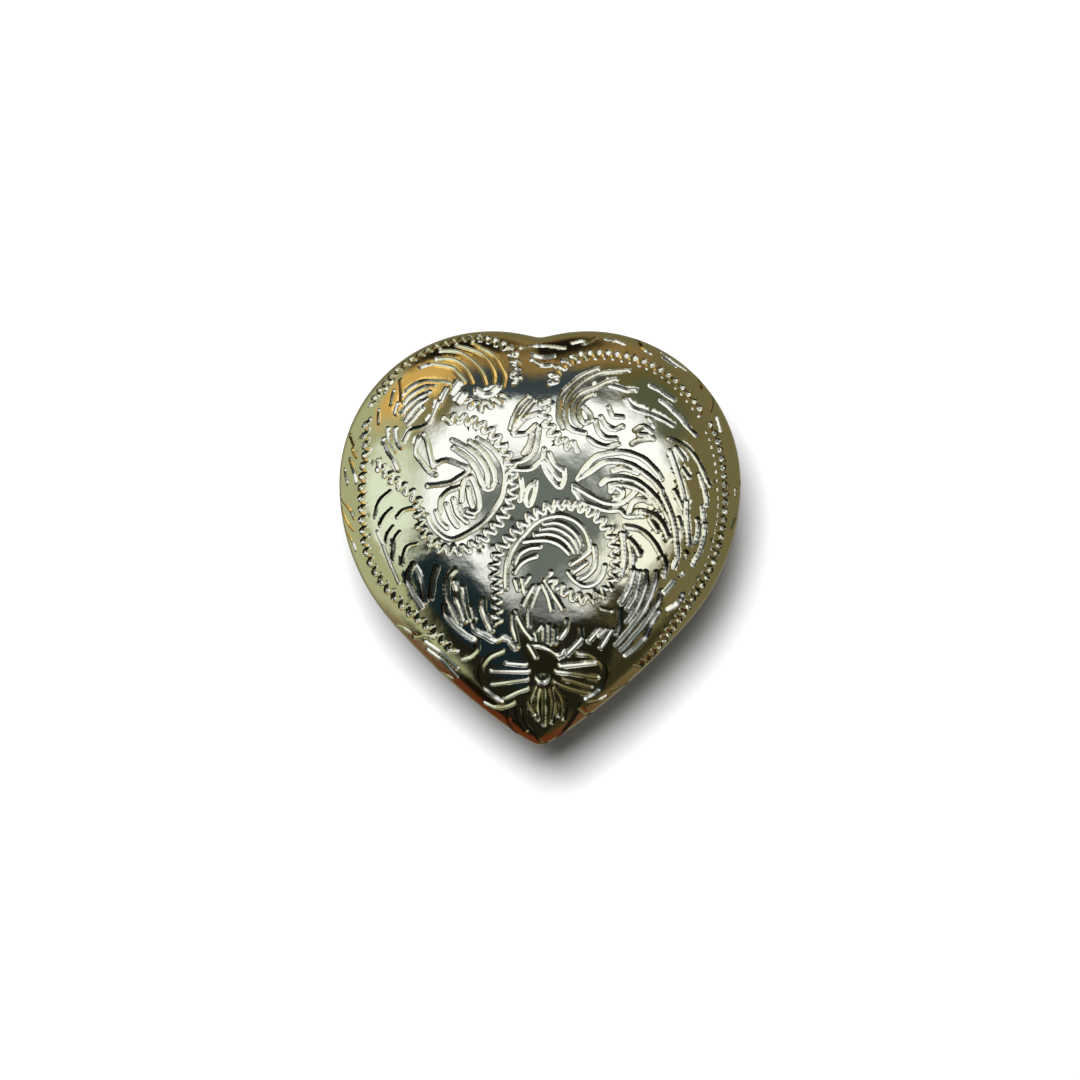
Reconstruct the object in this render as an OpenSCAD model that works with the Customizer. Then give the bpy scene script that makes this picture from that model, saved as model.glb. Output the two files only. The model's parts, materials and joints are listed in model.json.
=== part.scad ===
// Heart-shaped screw-back concho: a stamped, domed heart shell crimped over a
// flat back plate, with a threaded post staked in the plate and a wide-headed
// screw that clamps leather between its head and the heart's rim.
// Frame: +Z towards the domed face, +Y towards the cleft, origin on the post's
// axis in the plane of the rim, which is the face that sits on the leather.

/* [Heart] */
// Width across the lobes
heart_w = 30; // [24:0.5:40]
// Height of the dome above its rim band
dome_h = 6; // [4.5:0.1:9]
// Height of the straight rim band, from the leather to the foot of the dome
rim_h = 1.3; // [1.2:0.05:2]
// Thickness of the stamped sheet
sheet_t = 0.6; // [0.4:0.05:0.8]
// Width of the lip that is crimped under the back plate
lip_w = 1.3; // [1:0.1:2.5]
// Outside radius where the rim band turns under into the lip
rim_roll = 0.4; // [0.2:0.05:0.5]

/* [Back plate] */
// Thickness of the back plate
plate_t = 0.7; // [0.5:0.05:0.9]
// Gap between the plate's edge and the rim band's inner wall
plate_gap = 0.1; // [0.05:0.05:0.2]

/* [Threaded post] */
// Outside diameter of the barrel that passes through the leather
post_d = 5.5; // [5:0.1:7]
// Length of the barrel below the rim plane
post_l = 3.5; // [2.5:0.1:5]
// Radial step from the barrel up to its seat in the back plate's hole
seat_step = 0.3; // [0.2:0.05:0.5]
// How far the flange reaches past the hole in the back plate
flange_over = 1.4; // [1:0.1:2.5]
// Thickness of the flange
flange_t = 0.8; // [0.6:0.05:1.1]
// Height of the blind boss above the flange
boss_h = 2.2; // [1.8:0.1:2.8]
// How far the staked collar reaches past that hole, under the plate
collar_over = 0.3; // [0.2:0.05:0.8]
// Radial gap between the seat and the hole in the back plate
post_gap = 0.05; // [0.03:0.01:0.1]
// Thickness of the boss's wall round the bore
boss_wall = 1.1; // [0.8:0.1:1.4]
// Depth of the collar's face inside the lip, so that it never meets the leather
collar_sink = 0.1; // [0.05:0.05:0.2]

/* [Screw] */
// Outside diameter of the thread
thread_d = 4; // [3:0.1:4.2]
// Thickness of metal between the bore's blind end and the boss's top
boss_end_t = 0.8; // [0.6:0.1:1]
// Radial running gap between the screw's thread and the bore
thread_gap = 0.05; // [0.03:0.01:0.1]
// Length of the screw's shank
shank_l = 6; // [4:0.1:6.4]
// Diameter of the screw's head
head_d = 10; // [8:0.1:13]
// Height of the head at its middle
head_h = 1.5; // [1.2:0.1:2.2]
// Width of the driver slot
slot_w = 1.1; // [0.8:0.05:1.4]
// Depth of the driver slot
slot_depth = 0.8; // [0.5:0.05:1]
// Gap between the head and the end of the barrel when the screw is home
head_gap = 0.05; // [0.03:0.01:0.1]

/* [Hidden] */

// The heart's edge is three arcs on each side, worked out from its width: a
// lobe, a side below it that shares the lobe's widest point, and a flank down
// to the tip. Each arc continues the one before it without a corner.
lobe_share = 0.38;     // radius of a lobe, as a share of the heart's width
side_share = 0.52;     // radius of a side
flank_share = 1.69;    // radius of a flank
widest_share = 0.077;  // height of the widest point above the post's axis
side_turn = 40.8;      // degrees that a side turns through before its flank

lobe_r = heart_w * lobe_share;
widest_y = heart_w * widest_share;
lobe_c = [heart_w / 2 - lobe_r, widest_y];
side_r = heart_w * side_share;
side_c = [heart_w / 2 - side_r, widest_y];
flank_r = heart_w * flank_share;
flank_start = side_c + side_r * [cos(side_turn), -sin(side_turn)];
flank_c = flank_start - flank_r * [cos(side_turn), -sin(side_turn)];
flank_angle = atan2(flank_start[1], flank_start[0]);
widest_angle = atan2(widest_y, heart_w / 2);

// How far the tip and the cleft are rounded, as a share of a turn in radians:
// crisp at the rim, and soft at the crown, where the two lobes run together.
rim_soft = 0.03;
crown_soft = 0.5;

steps = 120;       // points round one ring of the shell
pole_bias = 17;    // degrees that crowd those points towards the tip and the cleft
dome_rings = 14;   // rings from the rim to the crown, outside
lining_rings = 8;  // the same inside, where no one sees it
roll_rings = 4;    // rings round the turn at the foot of the rim band

// Angle of a ring's point
function turn(i) = 360 * i / steps - pole_bias * sin(720 * i / steps - 180);

// Distance from the origin to an arc, along a unit vector
function to_arc(c, r, u) = c * u + sqrt(r * r - c * c + (c * u) * (c * u));

// Distance from the origin to the heart's edge at an angle
function heart_r(angle, soft) =
    let (x = sqrt(pow(cos(angle), 2) + soft * soft),
         u = [x, sin(angle)] / norm([x, sin(angle)]),
         rise = atan2(u[1], u[0]))
    rise > widest_angle ? to_arc(lobe_c, lobe_r, u)
    : rise > flank_angle ? to_arc(side_c, side_r, u)
    : to_arc(flank_c, flank_r, u);

// One ring: the heart's edge moved in by inset, then shrunk to a share of its size
function ring(share, inset, z) =
    let (soft = rim_soft + crown_soft * pow(1 - share, 1.5))
    [for (i = [0:steps - 1])
        let (a = turn(i), r = share * (heart_r(a, soft) - inset))
        [r * cos(a), r * sin(a), z]];

// The n rings of a dome of that height over the heart moved in by inset, from the foot up
function dome(n, inset, h) =
    [for (i = [0:n - 1])
        let (a = 90 * i / n)
        ring(cos(a), inset, rim_h + h * sin(a))];

// A closed skin over a stack of rings, with a point below the first and above the last
module stack(rings, first_tip, last_tip) {
    n = len(rings);
    points = [first_tip, for (r = rings) each r, last_tip];
    last = len(points) - 1;
    faces = [
        for (i = [0:steps - 1]) [0, 1 + i, 1 + (i + 1) % steps],
        for (k = [0:n - 2], i = [0:steps - 1])
            let (a = 1 + k * steps + i, b = 1 + k * steps + (i + 1) % steps)
            each [[a, a + steps, b], [b, a + steps, b + steps]],
        for (i = [0:steps - 1])
            let (a = 1 + (n - 1) * steps + i, b = 1 + (n - 1) * steps + (i + 1) % steps)
            [a, last, b]
    ];
    polyhedron(points, faces, convexity = 6);
}

module heart_outline(inset) {
    polygon([for (i = [0:steps - 1])
        let (a = turn(i), r = heart_r(a, rim_soft) - inset)
        [r * cos(a), r * sin(a)]]);
}

crimp_thinning = 0.1;   // what the crimp takes off the sheet
lip_t = sheet_t - crimp_thinning;
plate_z = lip_t;
plate_top = plate_z + plate_t;
post_r = post_d / 2;
seat_r = post_r + seat_step;
hole_r = seat_r + post_gap;
bore_r = thread_d / 2 + thread_gap;
boss_r = bore_r + boss_wall;
boss_top = plate_top + flange_t + boss_h;
bore_top = boss_top - boss_end_t;
collar_t = lip_t - collar_sink;
head_z = -post_l - head_gap;

edge_break = 0.1;   // rounding of the screw head's rim
edge_h = 0.6;       // height of that rim, below which the head is domed
dome_in = 0.28;     // radii of the dome's two middle rings, as shares of the head's diameter
dome_out = 0.42;
dome_in_drop = 0.08;   // how far those rings rise from the lowest face
dome_out_drop = 0.35;
shank_point = 0.5;  // chamfer at the end of the shank

// Stamped dome, straight rim band and crimped lip, as one folded sheet
module face_shell() {
    lining = dome(lining_rings, sheet_t, dome_h - sheet_t);
    inside = [for (i = [lining_rings - 1:-1:0]) lining[i]];
    lip = [ring(1, sheet_t, lip_t), ring(1, lip_w, lip_t), ring(1, lip_w, 0)];
    roll = [for (i = [0:roll_rings])
        let (a = 90 * i / roll_rings)
        ring(1, rim_roll * (1 - sin(a)), rim_roll * (1 - cos(a)))];
    color("gainsboro")
        stack(concat(inside, lip, roll, dome(dome_rings, 0, dome_h)),
              [0, 0, rim_h + dome_h - sheet_t], [0, 0, rim_h + dome_h]);
}

// Flat heart that closes the shell and carries the post
module back_plate() {
    color("darkgray")
        translate([0, 0, plate_z])
        difference() {
            linear_extrude(plate_t) heart_outline(sheet_t + plate_gap);
            translate([0, 0, -1])
                cylinder(h = plate_t + 2, r = hole_r, $fn = 64);
        }
}

// Barrel with a flange and blind boss inside the shell, and a staked collar outside
module threaded_post() {
    color("silver")
        difference() {
            union() {
                translate([0, 0, -post_l])
                    cylinder(h = post_l + plate_z, r = post_r, $fn = 64);
                translate([0, 0, plate_z - collar_t])
                    cylinder(h = collar_t, r = hole_r + collar_over, $fn = 64);
                translate([0, 0, plate_z])
                    cylinder(h = plate_t, r = seat_r, $fn = 64);
                translate([0, 0, plate_top])
                    cylinder(h = flange_t, r = hole_r + flange_over, $fn = 64);
                translate([0, 0, plate_top + flange_t])
                    cylinder(h = boss_h, r = boss_r, $fn = 64);
            }
            translate([0, 0, -post_l - 1])
                cylinder(h = bore_top + post_l + 1, r = bore_r, $fn = 64);
        }
}

// Profile of the screw to the right of its axis, turned into a solid
module screw_body() {
    shank_r = thread_d / 2;
    shank_top = head_z + shank_l;
    head_bottom = head_z - head_h;
    head_r = head_d / 2;
    rotate_extrude($fn = 64)
        polygon([
            [0, head_bottom],
            [head_d * dome_in, head_bottom + dome_in_drop],
            [head_d * dome_out, head_bottom + dome_out_drop],
            [head_r - edge_break, head_z - edge_h],
            [head_r, head_z - edge_h + edge_break * 2],
            [head_r, head_z - edge_break],
            [head_r - edge_break, head_z],
            [shank_r, head_z],
            [shank_r, shank_top - shank_point],
            [shank_r - shank_point, shank_top],
            [0, shank_top]
        ]);
}

// Low wide head with a straight driver slot, on a threaded shank
module screw() {
    color("lightgray")
        difference() {
            screw_body();
            translate([-head_d, -slot_w / 2, head_z - head_h - 1])
                cube([head_d * 2, slot_w, slot_depth + 1]);
        }
}

face_shell();
back_plate();
threaded_post();
screw();
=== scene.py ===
import json
import math

import bmesh
import bpy
import numpy as np
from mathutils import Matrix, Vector, geometry, noise


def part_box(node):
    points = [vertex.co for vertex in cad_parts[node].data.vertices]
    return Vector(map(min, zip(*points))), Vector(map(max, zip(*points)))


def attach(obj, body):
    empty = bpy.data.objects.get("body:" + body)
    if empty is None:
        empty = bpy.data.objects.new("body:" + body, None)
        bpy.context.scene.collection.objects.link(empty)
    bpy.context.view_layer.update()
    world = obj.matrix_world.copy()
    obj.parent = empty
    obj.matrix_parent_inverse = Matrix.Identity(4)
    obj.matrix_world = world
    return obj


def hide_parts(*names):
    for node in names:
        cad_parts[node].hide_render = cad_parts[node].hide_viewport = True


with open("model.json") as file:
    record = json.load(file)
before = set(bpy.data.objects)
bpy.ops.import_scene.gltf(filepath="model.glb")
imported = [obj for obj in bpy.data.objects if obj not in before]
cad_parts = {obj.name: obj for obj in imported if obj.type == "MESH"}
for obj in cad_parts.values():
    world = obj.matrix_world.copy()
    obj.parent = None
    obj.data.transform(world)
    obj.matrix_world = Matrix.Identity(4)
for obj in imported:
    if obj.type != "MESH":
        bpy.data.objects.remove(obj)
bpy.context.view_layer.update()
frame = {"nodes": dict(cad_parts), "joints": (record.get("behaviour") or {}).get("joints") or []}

# ---- Face shell: the form --------------------------------------------------
# The front is one piece of sheet steel, stamped in a die into a domed heart
# with a short straight band at its foot, engraving and all, then plated and
# polished. The band is crimped under into a lip that holds the back plate.

MM = 0.001              # the frame is in metres, and every size below is in mm
face_low, face_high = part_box("face_shell")
heart_w = (face_high.x - face_low.x) / MM
band_h = 1.3
dome_h = face_high.z / MM - band_h
sheet_t = 0.6
lip_w, lip_t, lip_roll = 1.3, 0.5, 0.4
# How far the cleft and the tip are rounded, at the rim and more towards the crown
rim_soft, crown_soft, soft_power = 0.03, 0.5, 1.5

# The outline: a lobe, a side and a flank, each an arc that continues the last.
# Their radii, and the height of the widest place, are shares of the width.
lobe_share, side_share, flank_share, widest_share = 0.38, 0.52, 1.69, 0.077
lobe_r, side_r, flank_r = heart_w * lobe_share, heart_w * side_share, heart_w * flank_share
widest_y = heart_w * widest_share
side_turn = math.radians(40.8)
turned = np.array([math.cos(side_turn), -math.sin(side_turn)])
lobe_mid = np.array([heart_w / 2 - lobe_r, widest_y])
side_mid = np.array([heart_w / 2 - side_r, widest_y])
flank_top = side_mid + side_r * turned
flank_mid = flank_top - flank_r * turned


def edge_reach(angle, soft):
    """How far the heart's edge is from the post's axis, in the direction of an angle."""
    # One half serves both sides, because the direction is folded over to the right
    ux, uy = np.sqrt(np.cos(angle) ** 2 + soft ** 2), np.sin(angle)
    length = np.hypot(ux, uy)
    ux, uy = ux / length, uy / length
    rise = np.arctan2(uy, ux)

    def to_arc(mid, r):
        along = mid[0] * ux + mid[1] * uy
        return along + np.sqrt(r * r - mid @ mid + along ** 2)

    on_lobe = rise > math.atan2(widest_y, heart_w / 2)
    on_side = rise > math.atan2(flank_top[1], flank_top[0])
    lower = np.where(on_side, to_arc(side_mid, side_r), to_arc(flank_mid, flank_r))
    return np.where(on_lobe, to_arc(lobe_mid, lobe_r), lower)


def softness(share):
    """The rounding of cleft and tip at a share of the way from the crown to the rim."""
    return rim_soft + crown_soft * np.clip(1 - share, 0, 1) ** soft_power


def dome_point(fall, angle):
    """The plain dome, where fall goes from 0 at the crown to a quarter turn at its foot."""
    share = np.sin(fall)
    r = share * edge_reach(angle, softness(share))
    return np.stack([r * np.cos(angle), r * np.sin(angle), band_h + dome_h * np.cos(fall)], axis=-1)


# The dome is unrolled into a flat sheet, so that a cut keeps its true width
# on the steep sides. unroll_at[k] is how far out share_at[k] lands there.
middling_reach = heart_w * 0.45
fall_at = np.linspace(0, math.pi / 2, 400)
steep = dome_h / middling_reach
step_at = np.sqrt(np.cos(fall_at) ** 2 + (steep * np.sin(fall_at)) ** 2)
unroll_at = np.concatenate([[0], np.cumsum((step_at[1:] + step_at[:-1]) / 2 * np.diff(fall_at))])
share_at = np.sin(fall_at)
settling_rounds = 12    # share and softness depend on each other, so they are settled in turns


def unroll(x, y):
    """From the view square on to the face to the flat sheet."""
    angle, r = np.arctan2(y, x), np.hypot(x, y)
    share = r / edge_reach(angle, rim_soft)
    for _ in range(settling_rounds):
        share = r / edge_reach(angle, softness(share))
    beyond = np.maximum(share - 1, 0)
    grown = (np.interp(share, share_at, unroll_at) + beyond) / np.maximum(share, 1e-6)
    return np.stack([x * grown, y * grown], axis=-1)


def roll_back(u, v):
    """From the flat sheet to the fall and the angle of a point on the dome."""
    angle, r = np.arctan2(v, u), np.hypot(u, v)
    share = np.interp(r / edge_reach(angle, rim_soft), unroll_at, share_at)
    for _ in range(settling_rounds):
        share = np.interp(r / edge_reach(angle, softness(share)), unroll_at, share_at)
    return np.arcsin(np.clip(share, 0, 1)), angle


# ---- Face shell: the engraving ---------------------------------------------
# Scrolls, leaves and a four-petal flower inside a wriggle-cut border. A graver
# cut them into the die's master, stroke by stroke, walking from side to side
# for a wriggle cut, and the die pressed them into the sheet with steep walls.

# Name and width of a group of strokes, and each stroke as x, y, x, y, ... in mm,
# seen square on to the face
cuts = {
    ("fan in the left lobe", 0.36): [
        (-8.9, 11, -8.2, 11.2, -7.4, 11.1, -6.6, 10.9, -6.1, 10.4, -5.6, 9.8),
        (-7.7, 11.6, -6.9, 11.6, -6.2, 11.4, -5.5, 10.8, -5, 9.8),
        (-7.4, 12.2, -6.6, 12.2, -5.8, 12, -4.9, 11.3, -4.3, 10.5, -4, 9.7),
        (-6.2, 12.6, -5.2, 12.3, -4.3, 11.9, -3.7, 11.2, -3.4, 10.5, -3.4, 9.8),
        (-5, 12.8, -4.2, 12.3, -3.4, 11.8, -2.9, 11, -2.6, 10.3, -2.7, 9.5),
    ],
    ("petals under it", 0.5): [
        (-6.5, 9, -6, 9.7), (-6, 8.3, -5.6, 8.9), (-4.7, 9.1, -4.2, 8.9, -3.6, 9, -3.1, 9.4),
    ],
    ("veined leaf", 0.34): [
        (-10.2, 9, -9.5, 9.6, -8.8, 9.9, -8, 9.9, -7.2, 9.8, -6.7, 9.6, -7, 8.9, -7.4, 8),
        (-10.1, 8.3, -9.5, 9, -8.6, 9.5, -7.8, 9.6), (-10.2, 7.6, -9.6, 8.3, -8.9, 8.8, -8.2, 9.1),
        (-10, 7, -9.5, 7.7, -8.9, 8.3, -8.4, 8.6), (-9.8, 6.7, -9.3, 7.2, -8.7, 7.9),
        (-7.5, 8.3, -7.8, 7.5, -8.2, 6.8, -8.9, 6.4, -9.6, 6.2, -10.1, 5.4),
        (-10.4, 10, -10.3, 9.2, -10.3, 8.5), (-10.6, 8.2, -10.7, 7.5, -10.1, 7.5),
        (-10.9, 10.1, -11.4, 9.5, -11.6, 9.1), (-12, 7.7, -12, 6.8), (-10.9, 9.2, -11.1, 8.2),
    ],
    ("left side leaves", 0.42): [
        (-11.3, 6.3, -11.2, 5.5, -10.8, 4.7), (-10.7, 6.3, -10.6, 5.6, -10.3, 5),
        (-11.6, 5.5, -11.3, 4.8, -10.9, 4.2, -10.5, 3.3),
    ],
    ("left slits", 0.3): [
        (-11.1, 1.7, -11.7, 1.2, -12.1, 0.6, -12.3, -0.2), (-11, 0.4, -11.5, -0.1, -11.9, -0.8),
        (-10.9, -0.9, -11.3, -1.5, -11.5, -2.2), (-10.4, -1.3, -10.8, -1.9, -10.9, -2.8, -11, -3.5),
        (-9.2, 0.5, -10.1, 0.3, -10.6, -0.2), (-9.1, -2.2, -9.8, -2.4, -10.1, -3, -10.2, -3.7),
        (-12.1, -1.3, -11.7, -2.2, -11.3, -3.3, -10.9, -4.2, -10.5, -5.1),
    ],
    ("lower left leaves", 0.45): [
        (-9.4, -3.7, -9.8, -4.5, -9.8, -5.1, -9.4, -6, -8.8, -6.9),
        (-9.3, -3.8, -8.9, -4.6, -8.7, -5.6, -8.6, -6.5), (-7.6, -3.9, -7.9, -4.8, -8, -5.6, -8.1, -6.2),
        (-6.3, -4.1, -6.8, -4.7, -6.9, -5.6, -6.8, -6.5, -6.4, -7.4, -6, -8.2),
        (-7.1, -6.8, -7, -7.5, -6.5, -8.2, -5.8, -8.8, -5, -9.3),
        (-6.3, -5, -6.1, -5.7, -6.1, -6.4, -5.8, -7.2, -5.6, -7.9),
        (-5.7, -5.4, -5.6, -6.2, -5.5, -7, -5.3, -7.8), (-5.1, -6.9, -4.9, -7.7),
        (-4.2, -6.3, -4.2, -7.1, -3.9, -7.9, -3.6, -8.6),
        (-5, -8.1, -4.8, -8.6, -4.2, -8.9, -3.4, -9.3, -2.8, -9.1, -2.3, -9.3, -1.8, -9.9),
        (-4.7, -9.4, -4.7, -10, -5.2, -10.5, -5.7, -10.7),
    ],
    ("left scroll", 0.36): [
        (-8.3, -0.1, -8.1, -0.7, -7.6, -1.3, -6.9, -1.8, -6.2, -1.8, -5.2, -1.3, -4.2, -0.6, -3.4, 0.3,
         -2.8, 1.3, -2.6, 2.3, -2.6, 3.3, -3, 4.2, -3.7, 5, -4.6, 5.6),
        (-3.3, 2.4, -3.4, 3.2, -3.9, 4.2, -4.5, 4.9, -5.2, 5.4),
        (-3.9, 2, -3.9, 3, -4.4, 4, -5.2, 4.8, -5.9, 5.2, -6.5, 5.5),
        (-3.3, 2.4, -3.6, 1.9, -4.1, 1.9, -4.4, 2.6, -4.7, 3.3, -5.3, 4.1, -6.4, 4.9),
        (-7.9, 3.6, -7, 4, -6, 3.7, -5.3, 3.3, -6, 2.7, -6.8, 2.3, -8.3, 2.1),
        (-9, 5.6, -9.2, 4.6, -8.7, 3.8, -8.1, 3.1, -7.7, 2.9),
        (-8.6, 5.9, -8.3, 5.2, -8.1, 4.3, -7.9, 3.6),
        (-5.8, 1, -5.7, 2.2, -5.2, 2.8, -4.8, 2.2, -4.5, 1.2, -4.5, 0.5, -4.9, 0.1, -5.4, 0.3),
        (-5.3, 1.9, -5.2, 1.2, -5, 0.6), (-6, 2, -6.8, 1.7, -7.3, 1.1, -7.4, 0.2),
        (-7.7, 0.2, -7.4, -0.5, -6.9, -1), (-6.9, 0.7, -6.6, -0.2, -6.1, -0.9),
        (-6.4, 1.1, -6.1, 0.1, -5.4, -0.6), (-6, 0.6, -5.6, 0, -4.9, -0.2),
    ],
    ("upper right scroll", 0.36): [
        (6.6, 10.7, 5.6, 10.6, 4.6, 10.5, 3.7, 10.1, 2.9, 9.5, 2.2, 8.7, 1.9, 7.8, 1.9, 6.9, 2.3, 6.3,
         3.3, 6),
        (4.3, 10.8, 3.2, 10.3, 2.2, 9.5, 1.6, 8.8, 1.4, 7.9, 1.4, 7.1, 1.7, 6.4),
        (5.7, 10, 5, 9.8, 4.2, 9.4, 3.2, 9, 2.6, 8.4, 2.4, 7.6, 2.6, 6.9, 3, 6.5),
        (4, 8.9, 3.4, 8.6, 3, 8.1, 2.9, 7.4, 3.2, 6.8, 3.7, 6.9, 3.7, 7.4, 3.3, 7.9),
        (4.1, 6.9, 4.3, 6.2, 4.8, 5.7, 5.6, 5.6), (4.5, 7.2, 4.9, 6.6, 5.5, 6.3, 6.1, 6.5),
        (5.1, 7.9, 5.4, 7.3, 6.1, 7.2), (3.6, 5.6, 4.2, 5.2, 5, 5, 5.8, 5.2),
    ],
    ("right lobe leaves", 0.38): [
        (6.3, 8.5, 6.7, 8, 7.3, 7.7, 8.3, 7.4, 9.2, 7, 9.9, 6.6), (8.2, 9.6, 8.8, 9.3, 9.4, 8.9, 10, 8.5),
        (9, 8.5, 9.7, 7.9, 10.4, 7.2, 11, 6.5, 11.6, 5.9), (8.1, 7.1, 8.3, 7),
        (5.2, 9.6, 5.9, 9.4, 6.5, 9.2, 7.1, 9.2), (6.8, 5.2, 7.4, 5.5, 8.4, 5.6),
        (7, 6.2, 7.7, 6.5, 8.3, 6.1), (7.3, 5.9, 8.2, 5.8),
        (9.5, 5.6, 10.3, 5.3, 11, 4.9, 11.6, 4.2, 12.1, 3.3, 12.4, 2.6), (10.1, 4.9, 10.7, 4.1),
    ],
    ("small middle leaves", 0.36): [
        (-0.8, 8.7, -1.5, 8, -1.9, 7.2, -2.2, 6.3), (-0.4, 8.4, -1, 7.7, -1.5, 7, -2, 6.2),
        (-0.1, 7.5, -0.9, 7.2, -1.6, 6.6, -2, 6), (-0.3, 6.6, -1, 6, -1.9, 5.9),
        (-0.1, 6.3, -0.2, 5.4, -0.5, 4.5, -1.2, 4, -2, 3.8), (-0.6, 5.9, -0.8, 5.1, -1.2, 4.5),
        (0, 3.9, -0.6, 3.4, -1.4, 3.3, -2.1, 3.4),
        (0.3, 4.8, 0.2, 3.8, 0.6, 2.9, 1.4, 2, 1.8, 2.5, 1.8, 3.3), (0.4, 4, 0.9, 3.2, 1.4, 2.6),
        (0.7, 4.5, 1, 3.8, 1.6, 3.3), (-0.3, 2.4, -0.4, 1.5, -0.8, 0.6, -1.1, 1.2, -0.8, 2, -0.3, 2.4),
        (-1.4, 2.6, -1.3, 1.8, -1.5, 1),
    ],
    ("right leaf fan", 0.4): [
        (2.8, 2.6, 3.3, 3.4, 4.1, 4.2, 5.1, 4.5, 6.1, 4.6, 7, 4.4, 7.8, 4, 8.6, 3.2, 9, 2.6),
        (2.8, 2.6, 3.8, 3.2, 4.7, 3.8, 5.6, 3.9, 6.6, 3.7, 7.5, 3.2, 8.4, 2.5, 9, 1.8),
        (5.4, 3.2, 6.2, 3.4, 7.2, 3.1), (4.5, 2.2, 5, 2.6, 6, 2.7, 7, 2.5, 7.8, 2, 8.5, 1.3, 9, 0.7),
        (5.2, 2.1, 6.2, 2.2, 7.2, 1.9, 8, 1.4, 8.7, 0.6),
        (2.5, 2.1, 3.2, 1.7, 3.9, 1.3, 4.8, 0.9, 5.8, 0.8, 6.5, 1.1, 7.1, 1.7),
        (2.5, 1.8, 3.2, 0.9, 4, 0.6, 5, 0.3, 5.9, 0.3, 6.4, -0.1, 7.6, -0.1),
        (5.2, 1.7, 5.6, 2, 6.1, 1.7, 6, 1.3, 5.5, 1.2), (6.6, 0.2, 6.9, 0.9, 7.6, 1.1, 8.2, 0.9),
        (6.3, -0.9, 7.3, -1.1, 8, -1.6, 8.5, -2.2, 8.9, -2.9),
    ],
    ("right side arcs", 0.36): [
        (9, 1.6, 9.5, 0.6, 9.9, -0.5, 10.1, -1.6, 10.2, -3), (8.8, 0.6, 9.3, 0.2, 9.7, -0.6),
        (9.6, 4.7, 9.9, 3.9, 10.2, 3, 10.5, 2, 10.7, 1.2), (10.6, 3.4, 11.1, 2.7),
        (10, 1.7, 10.4, 1, 10.7, 0.2), (10.9, 0.9, 10.9, -0.2, 11, -1.2, 11.1, -2.2),
        (11.9, 3, 12.2, 2, 12.4, 1.2, 12.4, 0.6), (12.1, 0.5, 12.2, -0.5),
        (12.3, -0.8, 12.2, -1.8, 11.9, -2.8, 11.4, -3.7), (12.4, 2.6, 12.7, 2.1),
        (11.7, -0.4, 11.8, -1.1, 11.6, -2), (10.3, -0.3, 10.5, -1),
        (7, 0.2, 8, 0.1, 8.7, -0.3, 9.2, -1, 9.5, -1.7), (8.1, -0.3, 8.7, -1.2),
        (10.2, -2.3, 10.2, -3.2, 9.9, -4), (9.1, -3.1, 9.3, -3.9, 9.2, -4.7), (10.8, -2.8, 10.9, -3),
        (10.4, -4.5, 10.6, -4.4), (6.5, -1.8, 7.1, -2.4, 7.4, -3),
        (6.1, -1.4, 6.2, -2.4, 6.2, -3.4, 6, -4.5), (6.6, -2, 6.8, -3, 6.8, -3.9),
    ],
    ("lower right strokes", 0.45): [
        (6.9, -4.2, 6.7, -5, 6.4, -5.8, 6, -6.5), (7.4, -4.3, 7.2, -5.2, 7, -6.1, 6.5, -7),
        (7.8, -4.3, 7.8, -5.2, 7.5, -6.2, 7.1, -7.1, 6.5, -8),
        (8.6, -4.3, 8.5, -5.2, 8.1, -6.3, 7.6, -7.3, 6.8, -8.4, 5.7, -9.7),
        (9, -5.7, 8.8, -6.5, 8.3, -7.4, 7.6, -8.4, 6.9, -9.2, 6.1, -10.1), (9.9, -5.1, 9.3, -5.8),
        (8.8, -7.3, 8.3, -8.1, 7.8, -9.2, 7.2, -9.9, 6.4, -10.5), (10.6, -6, 10.3, -6.6, 9.5, -7.1),
    ],
    ("leaves over the flower", 0.38): [
        (3.6, -9.4, 4.4, -8.5), (4.5, -9.9, 5.3, -8.6), (4.4, -9, 4.8, -8.6), (4.5, -7, 5.3, -7.2),
        (5.9, -7.1, 5.9, -8.1, 5.7, -8.9), (2, -7.8, 1.9, -8.5, 1.5, -9.1),
        (3, -8.4, 3, -9.2, 2.5, -9.8, 2, -10.3), (-0.8, -8.3, -0.8, -7.2, -0.5, -6.3, -0.1, -5.3),
        (0.2, -5.2, 0.6, -6, 0.9, -7.1), (0.4, -5, 1, -5.9, 1.7, -7),
        (-1.8, -7.2, -1.5, -7.9, -1.1, -8.6, -0.6, -9.2), (-2, -7.4, -2, -8.3, -1.8, -9.1, -1.7, -9.8),
        (-1.3, -6.7, -0.9, -5.9, -0.5, -5.3), (-0.2, -9.5, -0.3, -8.8, 0.1, -8.2), (0.3, -9.6, 0.3, -8.3),
        (0.7, -9.6, 0.7, -8.2), (1.1, -9.5, 1.1, -8.5),
        (-0.8, -9.7, 0, -9.7, 0.7, -10, 1.4, -10.4, 1.8, -10), (-0.3, -10.6, -0.8, -9.7),
    ],
    ("lower right scroll", 0.38): [
        (-2.5, -5.5, -2.5, -4.3, -2.3, -3.2, -1.8, -2.2, -1.1, -1.4, -0.3, -0.6, 0.6, -0.2, 1.6, -0.1,
         2.5, -0.4, 3.2, -1, 3.6, -1.8, 3.7, -2.6, 3.2, -3.1, 2.3, -3.7),
        (0.3, -0.7, 1.2, -0.6, 2, -0.9, 2.7, -1.5, 3.1, -2.3),
        (0.1, -1.1, 1, -1, 1.8, -1.3, 2.5, -1.9, 2.9, -2.8),
        (-0.4, -1.5, 0.6, -1.4, 1.4, -1.6, 2.1, -2.1, 2.6, -2.8),
        (-1.2, -2, -0.4, -1.9, 0.5, -1.9, 1.4, -2.2, 2.2, -2.9),
        (-1.9, -3.6, -1.5, -2.9, -0.8, -2.5, 0, -2.4), (-1.9, -4.3, -1.5, -3.7, -0.9, -3.3, -0.3, -3.1),
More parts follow.
